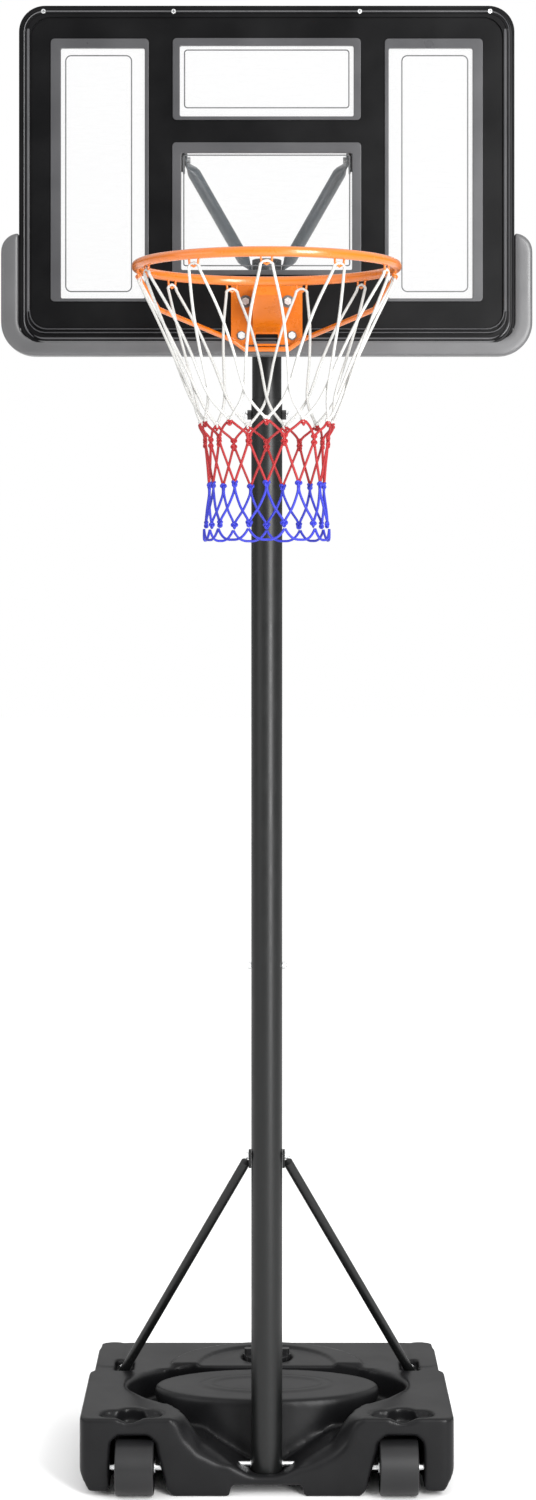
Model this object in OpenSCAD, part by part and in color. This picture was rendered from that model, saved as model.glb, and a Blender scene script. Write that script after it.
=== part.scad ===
// Portable basketball hoop: a fillable rolling base, a three-piece pole braced by
// two struts, and a backboard with a netted ring that slides up and down the pole.
// Millimetres. X is across, -Y is the side the ring faces, Z is up from the floor.

/* [Base] */
// Width of the base tank
base_w = 762; // [750:2:774]
// Height of the tank's flat top
base_h = 158; // [156:1:162]
// Distance from the pole's axis forward to the tank's front wall
base_front = 60; // [58:1:62]
// Distance from the pole's axis back to the tank's rear wall
base_rear = 490; // [480:2:520]
// Diameter of each wheel
wheel_d = 110; // [106:1:112]
// Width of each wheel
wheel_w = 78; // [70:1:79]
// Distance from the middle to the centre of each wheel
wheel_x = 268; // [266:1:270]

/* [Pole] */
// Outer diameter of the lower and middle tubes
tube_od = 63.5; // [62:0.5:65]
// Wall thickness of the tubes
tube_wall = 1.45; // [1.2:0.05:1.6]
// Height of the seam between the lower and middle tubes
seam_z = 1127; // [1110:1:1150]
// Height of the middle tube's top end
middle_top = 2228; // [2215:1:2232]
// Height of the pole's top when the ring is at its stored height
pole_top = 2510; // [2508:1:2520]
// Height of the bolt that holds both struts to the pole
strut_bolt_z = 680; // [660:1:700]
// Outer diameter of each strut
strut_d = 20; // [18:1:22]

/* [Backboard] */
// Width of the black frame
board_w = 974; // [966:1:974]
// Height of the frame's top edge above the floor
board_top = 2987; // [2980:1:3000]
// Distance from the pole's axis forward to the frame's front lip
board_reach = 222; // [222:1:226]
// Width of the padded guard around the lower corners
guard_w = 1046; // [1030:2:1060]
// Height of the guard's lower edge
guard_bottom = 2299; // [2290:1:2300]
// Outer diameter of the arms that carry the board
arm_d = 26; // [22:1:28]

/* [Ring] */
// Height of the ring's centre line above the floor
ring_h = 2430; // [2428:1:2434]
// Radius of the ring's centre line
ring_r = 237.5; // [235:0.5:238]
// Diameter of the ring's steel rod
ring_rod = 18; // [16:1:18]
// Distance from the pole's axis forward to the ring's centre
ring_reach = 600; // [596:1:606]
// Number of net hooks around the ring
hook_count = 11; // [8:1:12]

/* [Hidden] */
$fn = 64;

// The row's origin is under the middle of the whole object, so the pole stands behind it.
pole_y = (ring_reach + ring_r + ring_rod / 2 - base_rear) / 2;

tank_colour = "#3d3d3f";
pole_colour = "#303234";
frame_colour = "#202123";
trim_colour = "#5b5c60";
guard_colour = "#4a4b4d";
arm_colour = "#59626a";
pane_colour = "#dfe8ec";
wheel_colour = "#2c2c2d";
orange = "#e8701e";
zinc = "#c4c6c8";

// Tank
tank_floor_z = 22;
front_section_rear = 285;
shoulder_w = base_w - 20;
shoulder_r = 66;
side_leg = [[325, 9], [360, 9], [373, 31], [381, 48]];
foot_profile = [[72, 40], [72, 22], [75, 3], [79, 0], [190, 0], [201, 10], [207, 30], [207, 40]];
foot_length = 260;
well_profile = [
    [318, -1], [318, 108], [304, 122], [240, 122], [226, 108], [226, 92], [207, 30], [203, -1]
];
well_rear = 18;
drum_y = 172;
recess_floor = 98;
recess_outline = [
    [150, 308], [196, 300], [236, 276], [268, 244], [288, 207], [294, 174],
    [285, 145], [250, 92], [209, 54], [176, 14], [176, -4]
];
// The valley that the pole stands in, as half outlines of x and z from front to rear
valley_front = [[24, 41], [38, 46], [62, 58], [102, 65], [140, 83], [166, 108], [182, 147], [190, 159]];
valley_lip = [[24, 38], [48, 46], [65, 60], [92, 76], [130, 98], [152, 132], [168, 152], [178, 159]];
valley_rear = [[34, 40], [52, 50], [72, 62], [100, 80], [136, 104], [156, 132], [168, 150], [174, 159]];
valley_back = [[60, 86], [90, 89], [120, 92], [148, 97], [168, 112], [178, 132], [186, 150], [192, 159]];
// The round deck that rises inside the recess, as height, half width and front edge of each level
drum_levels = [
    [30, 92, 40], [50, 142, 42], [80, 194, 46], [112, 226, 52], [140, 238, 57], [154, 238, 58],
    [160, 231, 62]
];
drum_rear = 286;
drum_ring_z = 156;
drum_ring_h = 7;
ridge_h = 7;
ridge_outer = [206, 170];
ridge_inner = [150, 146];
ridge_y = 300;
corner_pad_h = 3;
corner_pad = [54, 184];
cup_x = 277;
cup_y = -19;
cup_d = 66;
cup_floor = 127;
cup_tray_depth = 13;
cap_y = 385;
cap_recess_d = 112;
cap_recess_z = base_h - 10;
cap_neck_r = 38.3;
cap_neck_depth = 26;
rod_z = 48;
rod_r = 5;
rod_half = 96;
foot_z = 20;
axle_r = 6;
axle_z = wheel_d / 2 + 1;
axle_y = 10 - wheel_d / 2;
axle_in = 198;
axle_out = 336;

// Pole
tube_id = tube_od - 2 * tube_wall;
upper_od = tube_id - 0.6;
swage_od = tube_id - 0.2;
swage_length = 120;
upper_overlap = 778;
seam_bolt_z = seam_z - 58;
clamp_z = middle_top - 32;
bolt_r = 4;
hole_r = 4.25;
head_flats = 13;
head_h = 5.5;
nut_h = 6.5;
pad_t = 5;
strut_pad_x = tube_od / 2 + 0.25;
strut_foot = [312, 306, base_h - 15];
slot_floor = base_h - 18;
foot_bolt_back = 24;

// Arms
arm_pad_x = upper_od / 2 + 0.25;
upper_arm_z = 2488;
lower_arm_z = 2334;
upper_arm_end = [160, -160, 2694];
lower_arm_end = [52, -160, 2366];
upper_arm_pad = 26;
lower_arm_d = 22;
lower_arm_pad = 24;
// Where the board-end bolts run: [inner face, bracket's outer face, y, z]
board_bolts = [
    for (e = [upper_arm_end, lower_arm_end])
        [e[0] - pad_t / 2 - 0.2, e[0] + pad_t / 2 + 4.4, e[1], e[2]]
];

// Backboard
field_y = -board_reach + 5;
frame_back = -board_reach + 36;
board_mid = (board_top + 2316) / 2;
board_h = board_top - 2316;
frame_r = 51;
lip_w = 22;
guard_y = -board_reach - 2;
guard_step_y = -board_reach + 6;
guard_shoulder_z = 2505;
guard_corner_r = 66;
boss_front = -board_reach - 3;
plate_t = 4;
// Windows as [left, right, bottom, top] of the opening and of its bevelled trim
side_open = [240, 405, 2412, 2904];
side_trim = [232, 425, 2406, 2923];
top_open = [-171, 171, 2770, 2909];
top_trim_edge = [-185, 185, 2763, 2924];
target_open = [-168, 168, 2468, 2698];
target_trim_edge = [-186, 186, 2458, 2719];
pane_lap = 8;
pane_t = 4;
pane_y = -board_reach + 10;
// Screws across the top of the frame's lip, by distance from its edge and from the middle
screw_edge = 11;
screw_across = [183, 439];

// Rim bolts as distance from the middle and height
rim_bolt_at = [[41.5, 2405], [49.7, 2338]];
rim_plate_half = 70;
box_half = 27;
brace_end_r = ring_r + 5.5;
rim_plate_low = 2320;
rim_plate_high = 2436;
// Radius and height of the net at each level, from the ring down
net_rings = [
    [234.8, 2410], [220, 2380], [176, 2282], [140, 2200], [122, 2144], [110, 2090], [106, 2032],
    [113, 1937]
];
net_t = 1.2;

function ellipse(rx, ry, n = 48) = [for (i = [0:n - 1]) [rx * cos(360 * i / n), ry * sin(360 * i / n)]];
function mirrored(half) = concat(half, [for (i = [len(half) - 1:-1:0]) [-half[i][0], half[i][1]]]);
function along(a, b, t) = a + (b - a) * t;

// Everything is drawn about the pole's axis and moved to the row's origin here
module placed() {
    translate([0, pole_y, 0])
        children();
}

module both_sides() {
    children();
    mirror([1, 0, 0])
        children();
}

module rounded_rect(w, h, r) {
    square([w - 2 * r, h], center = true);
    square([w, h - 2 * r], center = true);
    for (x = [-1, 1], y = [-1, 1])
        translate([x * (w / 2 - r), y * (h / 2 - r)])
            circle(r);
}

// A rounded rectangle from its four edges
module window(edges, r, grow = 0) {
    translate([(edges[0] + edges[1]) / 2, (edges[2] + edges[3]) / 2])
        rounded_rect(edges[1] - edges[0] + 2 * grow, edges[3] - edges[2] + 2 * grow, r);
}

// An outline of x and z made a plate that runs from y_front back to y_back
module upright(y_front, y_back) {
    translate([0, y_back, 0])
        rotate([90, 0, 0])
            linear_extrude(y_back - y_front)
                children();
}

// A cylinder between two points
module rod(a, b, r) {
    v = b - a;
    translate(a)
        rotate([0, acos(v[2] / norm(v)), atan2(v[1], v[0])])
            cylinder(h = norm(v), r = r);
}

// A bent rod through a list of points, with slightly full corners
module bent_rod(points, r) {
    for (i = [0:len(points) - 2])
        rod(points[i], points[i + 1], r);
    for (i = [1:len(points) - 2])
        translate(points[i])
            sphere(r * 1.02);
}

module across(x_low, x_high, r) {
    translate([x_low, 0, 0])
        rotate([0, 90, 0])
            cylinder(h = x_high - x_low, r = r);
}

module hex_across(x_low, x_high, flats) {
    translate([x_low, 0, 0])
        rotate([0, 90, 0])
            cylinder(h = x_high - x_low, r = flats / sqrt(3), $fn = 6);
}

// A hex bolt along X with its head at the low end
module hex_bolt(x_head, x_tip, r = bolt_r, flats = head_flats) {
    across(x_head, x_tip, r);
    hex_across(x_head - head_h, x_head, flats);
}

module hex_nut(x_low, h = nut_h, r = bolt_r, flats = head_flats) {
    difference() {
        hex_across(x_low, x_low + h, flats);
        across(x_low - 1, x_low + h + 1, r);
    }
}

// Rings of points joined into one closed skin, each ring drawn the same way round
module loft(rings) {
    n = len(rings[0]);
    last = (len(rings) - 1) * n;
    walls = [
        for (k = [0:len(rings) - 2], i = [0:n - 1])
            let (a = k * n + i, b = k * n + (i + 1) % n)
                each [[a, a + n, b + n], [a, b + n, b]]
    ];
    polyhedron(
        points = [for (ring = rings) each ring],
        faces = concat([[for (i = [0:n - 1]) i]], walls, [[for (i = [n - 1:-1:0]) last + i]])
    );
}

// A tube with its ends pressed flat into pads that face sideways, one bolt hole in each
module flat_end_tube(a, b, d, pad) {
    v = b - a;
    start = a + v * (pad / norm(v));
    end = b - v * (pad / norm(v));
    difference() {
        union() {
            rod(start, end, d / 2);
            for (p = [[a, start], [b, end]])
                pad_plate(p[0], p[1], d);
        }
        rod(along(start, end, 0.04), along(start, end, 0.96), d / 2 - 1.5);
        for (p = [a, b])
            translate(p)
                across(-d, d, hole_r);
    }
}

module pad_plate(tip, root, d) {
    reach = root - tip;
    length = norm([reach[1], reach[2]]) + d / 4;
    translate(tip)
        rotate([-atan2(reach[1], reach[2]), 0, 0])
            rotate([0, 90, 0])
                linear_extrude(pad_t, center = true) {
                    circle(d / 2);
                    translate([-length, -d / 2])
                        square([length, d]);
                }
}

// --- Base ---

module tank_plan() {
    translate([0, (front_section_rear - base_front) / 2])
        rounded_rect(base_w, front_section_rear + base_front, 24);
    translate([0, base_rear - 180])
        rounded_rect(shoulder_w, 360, shoulder_r);
}

module valley_cut() {
    stations = [
        [112, valley_back], [40, valley_rear], [-30, valley_lip], [-base_front - 1, valley_front]
    ];
    loft([
        for (s = stations)
            let (top = s[1][len(s[1]) - 1][0])
                [for (p = mirrored(concat(s[1], [[top, 220]]))) [p[0], s[0], p[1]]]
    ]);
}

module drum() {
    loft([
        for (level = drum_levels)
            let (half = (drum_rear - level[2]) / 2)
                [for (p = ellipse(level[1], half)) [p[0], p[1] + level[2] + half, level[0]]]
    ]);
}

module base_tank() {
    color(tank_colour)
        placed()
            difference() {
                union() {
                    difference() {
                        tank_block();
                        translate([0, 0, recess_floor])
                            linear_extrude(100)
                                polygon(mirrored(recess_outline));
                        valley_cut();
                    }
                    drum();
                    drum_ring();
                }
                tank_holes();
            }
}

module tank_holes() {
    translate([0, 0, foot_z])
        cylinder(h = 60, r = tube_od / 2 + 2);
    both_sides() {
        upright(-base_front - 1, well_rear)
            polygon(well_profile);
        translate([0, axle_y, axle_z])
            across(axle_in, axle_out, axle_r);
        cup_cut();
        strut_slot_cut();
    }
    translate([0, 0, rod_z])
        across(-rod_half, rod_half, rod_r);
    translate([0, cap_y, cap_recess_z])
        cylinder(h = 40, d = cap_recess_d);
    translate([0, cap_y, cap_recess_z - cap_neck_depth])
        cylinder(h = 40, r = cap_neck_r);
}

module tank_block() {
    intersection() {
        translate([0, 0, -1])
            linear_extrude(base_h + 1)
                tank_plan();
        upright(-base_front, base_rear)
            polygon(mirrored(concat([[317, tank_floor_z]], side_leg, [[base_w / 2, base_h]])));
    }
    both_sides() {
        upright(-base_front, foot_length - base_front)
            polygon(foot_profile);
        translate([282, 432, 0])
            linear_extrude(40)
                rounded_rect(96, 70, 16);
        translate([341, 390, base_h - 1])
            linear_extrude(corner_pad_h + 1)
                rounded_rect(corner_pad[0], corner_pad[1], 24);
    }
    rear_ridge();
}

module rear_ridge() {
    intersection() {
        translate([0, ridge_y, base_h - 1])
            linear_extrude(ridge_h + 1)
                difference() {
                    polygon(ellipse(ridge_outer[0], ridge_outer[1]));
                    polygon(ellipse(ridge_inner[0], ridge_inner[1]));
                }
        translate([-250, ridge_y + 8, 0])
            cube([500, 200, 200]);
    }
}

module drum_ring() {
    translate([0, drum_y, drum_ring_z])
        linear_extrude(drum_ring_h)
            difference() {
                polygon(ellipse(138, 62));
                polygon(ellipse(118, 48));
            }
}

module cup_cut() {
    translate([cup_x, cup_y, cup_floor])
        cylinder(h = 60, d = cup_d);
    translate([cup_x, cup_y - 4, base_h - cup_tray_depth])
        linear_extrude(30)
            rounded_rect(126, 44, 21.9);
    translate([cup_x, -base_front - 1, base_h + 46])
        rotate([-90, 0, 0])
            cylinder(h = 30, r = 54);
}

module strut_slot_cut() {
    translate([strut_foot[0] - 4, strut_foot[1] + 7, slot_floor])
        linear_extrude(60)
            rounded_rect(40, 68, 6);
    translate([strut_foot[0], strut_foot[1] + foot_bolt_back, -1])
        cylinder(h = slot_floor + 2, r = hole_r);
    translate([strut_foot[0], strut_foot[1] + foot_bolt_back, -1])
        cylinder(h = 61, r = 12);
}

module fill_cap() {
    seat = cap_recess_z + 2.3;
    color(frame_colour)
        placed()
            translate([0, cap_y, 0])
                difference() {
                    union() {
                        translate([0, 0, seat])
                            cylinder(h = 12, d = 100);
                        translate([0, 0, seat - 24])
                            cylinder(h = 25, r = cap_neck_r - 0.3);
                        translate([0, 0, seat + 10])
                            linear_extrude(14)
                                rounded_rect(98, 16, 6);
                        for (i = [0:11])
                            rotate(i * 30)
                                translate([49, 0, seat])
                                    cylinder(h = 12, r = 3.5);
                    }
                    translate([0, 0, seat - 25])
                        cylinder(h = 28, r = cap_neck_r - 4);
                }
}

module cap_seal() {
    color("#151515")
        placed()
            translate([0, cap_y, cap_recess_z])
                difference() {
                    cylinder(h = 2, r = 47);
                    translate([0, 0, -1])
                        cylinder(h = 4, r = cap_neck_r + 0.7);
                }
}

module wheel() {
    r = wheel_d / 2;
    half = wheel_w / 2;
    profile = [
        [axle_r + 0.08, -half], [15, -half], [15, -4], [r - 7, -4], [r - 7, -half + 2], [r - 5, -half],
        [r - 2, -half], [r, -half + 2], [r, half - 2], [r - 2, half], [r - 5, half], [r - 7, half - 2],
        [r - 7, 4], [15, 4], [15, half], [axle_r + 0.08, half]
    ];
    translate([wheel_x, axle_y, axle_z])
        rotate([0, 90, 0]) {
            rotate_extrude()
                polygon(profile);
            for (i = [0:5])
                rotate(i * 60)
                    for (z = [-half + 6, 3])
                        translate([13, -2, z])
                            cube([r - 19, 4, half - 9]);
        }
}

module right_wheel() {
    color(wheel_colour)
        placed()
            wheel();
}

module left_wheel() {
    color(wheel_colour)
        placed()
            mirror([1, 0, 0])
                wheel();
}

module wheel_axles() {
    color(zinc)
        placed()
            both_sides()
                translate([0, axle_y, axle_z])
                    across(axle_in, axle_out, axle_r);
}

module axle_washers() {
    inner = wheel_x - wheel_w / 2 - 2.4;
    outer = wheel_x + wheel_w / 2 + 0.5;
    color(zinc)
        placed()
            both_sides()
                for (x = [inner, outer])
                    translate([0, axle_y, axle_z])
                        difference() {
                            across(x, x + 1.9, 12);
                            across(x - 1, x + 3, axle_r);
                        }
}

module pivot_rod() {
    color(zinc)
        placed()
            translate([0, 0, rod_z])
                across(-rod_half, rod_half, rod_r);
}

// Push-on clips that stop the tube sliding along the pivot rod
module pivot_clips() {
    color(zinc)
        placed()
            both_sides()
                translate([0, 0, rod_z])
                    difference() {
                        across(tube_od / 2 + 0.3, tube_od / 2 + 1.8, 7);
                        across(tube_od / 2, tube_od / 2 + 3, rod_r);
                    }
}

// --- Pole ---

module lower_tube() {
    color(pole_colour)
        placed()
            difference() {
                translate([0, 0, foot_z])
                    cylinder(h = seam_z - foot_z, d = tube_od);
                translate([0, 0, foot_z - 1])
                    cylinder(h = seam_z - foot_z + 2, d = tube_id);
                translate([0, 0, rod_z])
                    across(-tube_od, tube_od, rod_r + 0.15);
                for (z = [strut_bolt_z, seam_bolt_z])
                    translate([0, 0, z])
                        across(-tube_od, tube_od, hole_r);
            }
}

module middle_tube() {
    neck_z = seam_z - swage_length;
    color(pole_colour)
        placed()
            difference() {
                union() {
                    translate([0, 0, neck_z])
                        cylinder(h = swage_length + 1, d = swage_od);
                    translate([0, 0, seam_z])
                        cylinder(h = middle_top - seam_z, d = tube_od);
                }
                translate([0, 0, neck_z - 1])
                    cylinder(h = swage_length + 2, d = swage_od - 2 * tube_wall);
                translate([0, 0, seam_z + 8])
                    cylinder(h = middle_top - seam_z, d = tube_id);
                translate([0, 0, seam_z])
                    cylinder(h = 8.01, d1 = swage_od - 2 * tube_wall, d2 = tube_id);
                translate([0, 0, seam_bolt_z])
                    across(-tube_od, tube_od, hole_r);
                translate([0, 0, clamp_z])
                    across(-tube_od, tube_od, hole_r);
            }
}

module upper_tube() {
    bottom = middle_top - upper_overlap;
    color(pole_colour)
        placed()
            difference() {
                translate([0, 0, bottom])
                    cylinder(h = pole_top - bottom, d = upper_od);
                translate([0, 0, bottom - 1])
                    cylinder(h = pole_top - bottom + 2, d = upper_od - 2 * tube_wall);
                for (z = [upper_arm_z, lower_arm_z])
                    translate([0, 0, z])
                        across(-tube_od, tube_od, hole_r);
            }
}

module pole_top_cap() {
    color("#1b1b1c")
        placed() {
            translate([0, 0, pole_top - 12])
                cylinder(h = 12.5, d = upper_od - 2 * tube_wall);
            translate([0, 0, pole_top])
                cylinder(h = 2.5, d = upper_od);
            translate([0, 0, pole_top + 2.5])
                cylinder(h = 1.5, d1 = upper_od, d2 = upper_od - 6);
        }
}

module through_bolt(z, face) {
    translate([0, 0, z])
        hex_bolt(-face, face + nut_h + 4);
}

module seam_bolt() {
    color(zinc)
        placed()
            through_bolt(seam_bolt_z, tube_od / 2 + 0.3);
}

module seam_nut() {
    color(zinc)
        placed()
            translate([0, 0, seam_bolt_z])
                hex_nut(tube_od / 2 + 0.3);
}

module strut_bolt() {
    color(zinc)
        placed()
            through_bolt(strut_bolt_z, strut_pad_x + pad_t + 0.2);
}

module strut_nut() {
    color(zinc)
        placed()
            translate([0, 0, strut_bolt_z])
                hex_nut(strut_pad_x + pad_t + 0.2);
}

// A strut tube, pressed flat at the pole and bent to a flat foot in the tank's slot
module strut() {
    top = [strut_pad_x + pad_t / 2, 0, strut_bolt_z];
    v = strut_foot - top;
    start = along(top, strut_foot, 0.03);
    difference() {
        union() {
            rod(start, strut_foot + v * (6 / norm(v)), strut_d / 2);
            pad_plate(top, start, strut_d + 4);
            translate([strut_foot[0], strut_foot[1] + 13, slot_floor])
                linear_extrude(pad_t)
                    rounded_rect(26, 46, 8);
        }
        rod(along(start, strut_foot, 0.02), along(start, strut_foot, 0.94), strut_d / 2 - 1.5);
        translate([strut_foot[0] - 40, strut_foot[1] - 40, slot_floor - 40])
            cube([80, 80, 40]);
        translate(top)
            across(-strut_d, strut_d, hole_r);
        translate([strut_foot[0], strut_foot[1] + foot_bolt_back, slot_floor - 1])
            cylinder(h = 20, r = hole_r);
    }
}

module right_strut() {
    color(pole_colour)
        placed()
            strut();
}

module left_strut() {
    color(pole_colour)
        placed()
            mirror([1, 0, 0])
                strut();
}

module strut_foot_bolts() {
    color(zinc)
        placed()
            both_sides()
                translate([strut_foot[0], strut_foot[1] + foot_bolt_back, 0])
                    rotate([0, -90, 0])
                        hex_bolt(60, slot_floor + pad_t + 9);
}

module strut_foot_nuts() {
    color(zinc)
        placed()
            both_sides()
                translate([strut_foot[0], strut_foot[1] + foot_bolt_back, 0])
                    rotate([0, -90, 0])
                        hex_nut(slot_floor + pad_t);
}

module clamp_nuts() {
    color(pole_colour)
        placed()
            both_sides()
                translate([0, 0, clamp_z])
                    hex_nut(tube_od / 2 - 0.3, 8.3, bolt_r + 0.06, 17);
}

module clamp_screw() {
    tip = upper_od / 2 + 0.35;
    head = tube_od / 2 + 13;
    translate([0, 0, clamp_z]) {
        across(tip, head, bolt_r);
        hex_across(head, head + head_h, head_flats);
        across(head - 1.6, head, 8.5);
    }
}

module right_clamp_screw() {
    color(zinc)
        placed()
            clamp_screw();
}

module left_clamp_screw() {
    color(zinc)
        placed()
            mirror([1, 0, 0])
                clamp_screw();
}

// --- Backboard ---

module frame_outline(inset = 0) {
    translate([0, board_mid])
        rounded_rect(board_w - 2 * inset, board_h - 2 * inset, frame_r - inset / 2);
}

module all_windows(grow) {
    for (s = [-1, 1])
        scale([s, 1])
            window(side_open, 4, grow);
    window(top_open, 4, grow);
    window(target_open, 4, grow);
}

module board_frame() {
    color(frame_colour)
        placed()
            difference() {
                union() {
                    difference() {
                        upright(-board_reach, frame_back)
                            frame_outline();
                        upright(-board_reach - 1, field_y)
                            frame_outline(lip_w);
                        upright(-board_reach - 1, guard_step_y + 0.3)
                            guard_cover();
                    }
                    upright(boss_front, field_y + 2)
                        window([-78, 78, 2337, 2444], 8);
                }
                upright(-board_reach - 9, frame_back + 1)
                    all_windows(4.5);
                upright(pane_y - 0.2, frame_back + 1)
                    all_windows(pane_lap + 0.3);
                back_relief();
                both_sides()
                    for (b = rim_bolt_at)
                        translate([b[0], -board_reach - 9, b[1]])
                            rotate([-90, 0, 0])
                                cylinder(h = 60, r = hole_r);
            }
}

// The frame's back is hollowed out between stiffening ribs
module back_relief() {
    upright(field_y + 6, frame_back + 1)
        difference() {
            frame_outline(12);
            all_windows(pane_lap + 9);
            window([-92, 92, 2300, 2450], 6);
            for (s = [-1, 1])
                scale([s, 1])
                    window([150, 236, 2656, 2732], 4);
            for (z = [2360:96:2960])
                translate([-board_w / 2, z - 2])
                    square([board_w, 4]);
            for (x = [-390:130:390])
                translate([x - 2, 2300])
                    square([4, 700]);
        }
}

// The part of the frame's front that the guard covers
module guard_cover() {
    difference() {
        translate([-board_w, 2200])
            square([2 * board_w, guard_shoulder_z - 2200 + 36]);
        guard_inner(2332);
    }
}

module guard_inner(bottom) {
    half = board_w / 2 + 0.3;
    translate([0, (bottom + 2800) / 2])
        rounded_rect(2 * half, 2800 - bottom, 34);
}

module guard_outer() {
    h = guard_shoulder_z - guard_bottom;
    translate([0, guard_bottom + h / 2])
        rounded_rect(guard_w, h, guard_corner_r);
    translate([-guard_w / 2, guard_bottom + h / 2])
        square([guard_w, h / 2]);
    intersection() {
        for (s = [-1, 1])
            translate([s * board_w / 2, guard_shoulder_z])
                scale([s, 1])
                    circle((guard_w - board_w) / 2);
        translate([-guard_w / 2, guard_shoulder_z - 1])
            square([guard_w, 60]);
    }
}

module edge_guard() {
    color(guard_colour)
        placed()
            difference() {
                union() {
                    upright(guard_y, guard_step_y)
                        difference() {
                            guard_outer();
                            guard_inner(2332);
                        }
                    upright(guard_step_y, frame_back + 3)
                        difference() {
                            guard_outer();
                            guard_inner(2315.5);
                        }
                }
                // A shallow groove runs along the front of the band
                upright(guard_y - 1, guard_y + 1.6)
                    difference() {
                        guard_groove(9);
                        guard_groove(12);
                    }
            }
}

module guard_groove(inset) {
    bottom = 2332 - inset;
    difference() {
        translate([0, (bottom + 2760) / 2])
            rounded_rect(board_w + 2 * inset, 2760 - bottom, 34 + inset);
        translate([-board_w, guard_shoulder_z - 8])
            square([2 * board_w, 600]);
    }
}

module trim_ring(open, edge) {
    difference() {
        union() {
            upright(field_y - 4, field_y - 0.02)
                window(edge, 8);
            upright(field_y - 1, pane_y - 0.25)
                window(open, 4, 4.2);
        }
        upright(field_y - 5, pane_y + 1)
            window(open, 3.5);
    }
}

module right_trim() {
    color(trim_colour)
        placed()
            trim_ring(side_open, side_trim);
}

module left_trim() {
    color(trim_colour)
        placed()
            mirror([1, 0, 0])
                trim_ring(side_open, side_trim);
}

module top_trim() {
    color(trim_colour)
        placed()
            trim_ring(top_open, top_trim_edge);
}

module target_trim() {
    color(trim_colour)
        placed()
            trim_ring(target_open, target_trim_edge);
}

module pane(open) {
    upright(pane_y, pane_y + pane_t)
        window(open, 4, pane_lap);
}

module right_pane() {
    color(pane_colour, 0.35)
        placed()
            pane(side_open);
}

module left_pane() {
    color(pane_colour, 0.35)
        placed()
            mirror([1, 0, 0])
                pane(side_open);
}

module top_pane() {
    color(pane_colour, 0.35)
        placed()
            pane(top_open);
}

module target_pane() {
    color(pane_colour, 0.35)
        placed()
            pane(target_open);
}

// Pan-head screws across the top of the frame's lip
module board_screws() {
    color(zinc)
        placed()
            both_sides()
                for (x = screw_across)
                    translate([x, -board_reach - 2, board_top - screw_edge])
                        screw_head();
}

module screw_head() {
    rotate([-90, 0, 0])
        difference() {
            union() {
                cylinder(h = 1, r1 = 4, r2 = 5);
                translate([0, 0, 1])
                    cylinder(h = 1, r = 5);
            }
            for (turn = [0, 90])
                rotate(turn)
                    translate([-3, -0.6, -1])
                        cube([6, 1.2, 2]);
        }
}

// --- Arms ---

module arm_bracket() {
    x = upper_arm_end[0] + pad_t / 2 + 0.2;
    z = upper_arm_end[2];
    difference() {
        union() {
            translate([x, frame_back, z - 28])
                cube([62, 4, 56]);
            translate([x, frame_back, z - 28])
                cube([4, 30, 56]);
            translate([x, -160, z])
                rotate([0, 90, 0])
                    cylinder(h = 4, r = 18);
        }
        translate([0, upper_arm_end[1], z])
            across(x - 5, x + 10, hole_r);
        for (dz = [-18, 18])
            translate([x + 46, frame_back - 1, z + dz])
                rotate([-90, 0, 0])
                    cylinder(h = 10, r = 2.6);
    }
}

module right_arm_bracket() {
    color(pole_colour)
        placed()
            arm_bracket();
}

module left_arm_bracket() {
    color(pole_colour)
        placed()
            mirror([1, 0, 0])
                arm_bracket();
}

module bracket_screws() {
    x = upper_arm_end[0] + pad_t / 2 + 46.2;
    color(zinc)
        placed()
            both_sides()
                for (dz = [-18, 18])
                    translate([x, frame_back + 6, upper_arm_end[2] + dz])
                        rotate([180, 0, 0])
                            screw_head();
}

module upper_arm() {
    root = [arm_pad_x + pad_t / 2, 0, upper_arm_z];
    flat_end_tube(root, upper_arm_end, arm_d, upper_arm_pad);
}

module lower_arm() {
    root = [arm_pad_x + pad_t / 2, 0, lower_arm_z];
    flat_end_tube(root, lower_arm_end, lower_arm_d, lower_arm_pad);
}

module right_upper_arm() {
    color(arm_colour)
        placed()
            upper_arm();
}

module left_upper_arm() {
    color(arm_colour)
        placed()
            mirror([1, 0, 0])
                upper_arm();
}

module right_lower_arm() {
    color(pole_colour)
        placed()
            lower_arm();
}

module left_lower_arm() {
    color(pole_colour)
        placed()
            mirror([1, 0, 0])
                lower_arm();
}

module pole_arm_bolts() {
    color(zinc)
        placed()
            for (z = [upper_arm_z, lower_arm_z])
                through_bolt(z, arm_pad_x + pad_t + 0.2);
}

module pole_arm_nuts() {
    color(zinc)
        placed()
            for (z = [upper_arm_z, lower_arm_z])
                translate([0, 0, z])
                    hex_nut(arm_pad_x + pad_t + 0.2);
}

module board_arm_bolts() {
    color(zinc)
        placed()
            both_sides()
                for (b = board_bolts)
                    translate([0, b[2], b[3]])
                        hex_bolt(b[0], b[1] + nut_h + 3);
}

module board_arm_nuts() {
    color(zinc)
        placed()
            both_sides()
                for (b = board_bolts)
                    translate([0, b[2], b[3]])
                        hex_nut(b[1]);
}

// --- Ring ---

module rim_back_plate() {
    ear_x = lower_arm_end[0] + pad_t / 2 + 0.2;
    color(pole_colour)
        placed()
            difference() {
                union() {
                    upright(frame_back, frame_back + plate_t)
                        window([-82, 82, 2322, 2432], 6);
                    both_sides() {
                        translate([ear_x, frame_back, 2348])
                            cube([plate_t, 26, 36]);
                        translate([0, lower_arm_end[1], lower_arm_end[2]])
                            across(ear_x, ear_x + plate_t, 18);
                    }
                }
                both_sides() {
                    for (b = rim_bolt_at)
                        translate([b[0], frame_back - 1, b[1]])
                            rotate([-90, 0, 0])
                                cylinder(h = 10, r = hole_r);
                    translate([0, lower_arm_end[1], lower_arm_end[2]])
                        across(ear_x - 5, ear_x + 10, hole_r);
                }
            }
}

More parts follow.
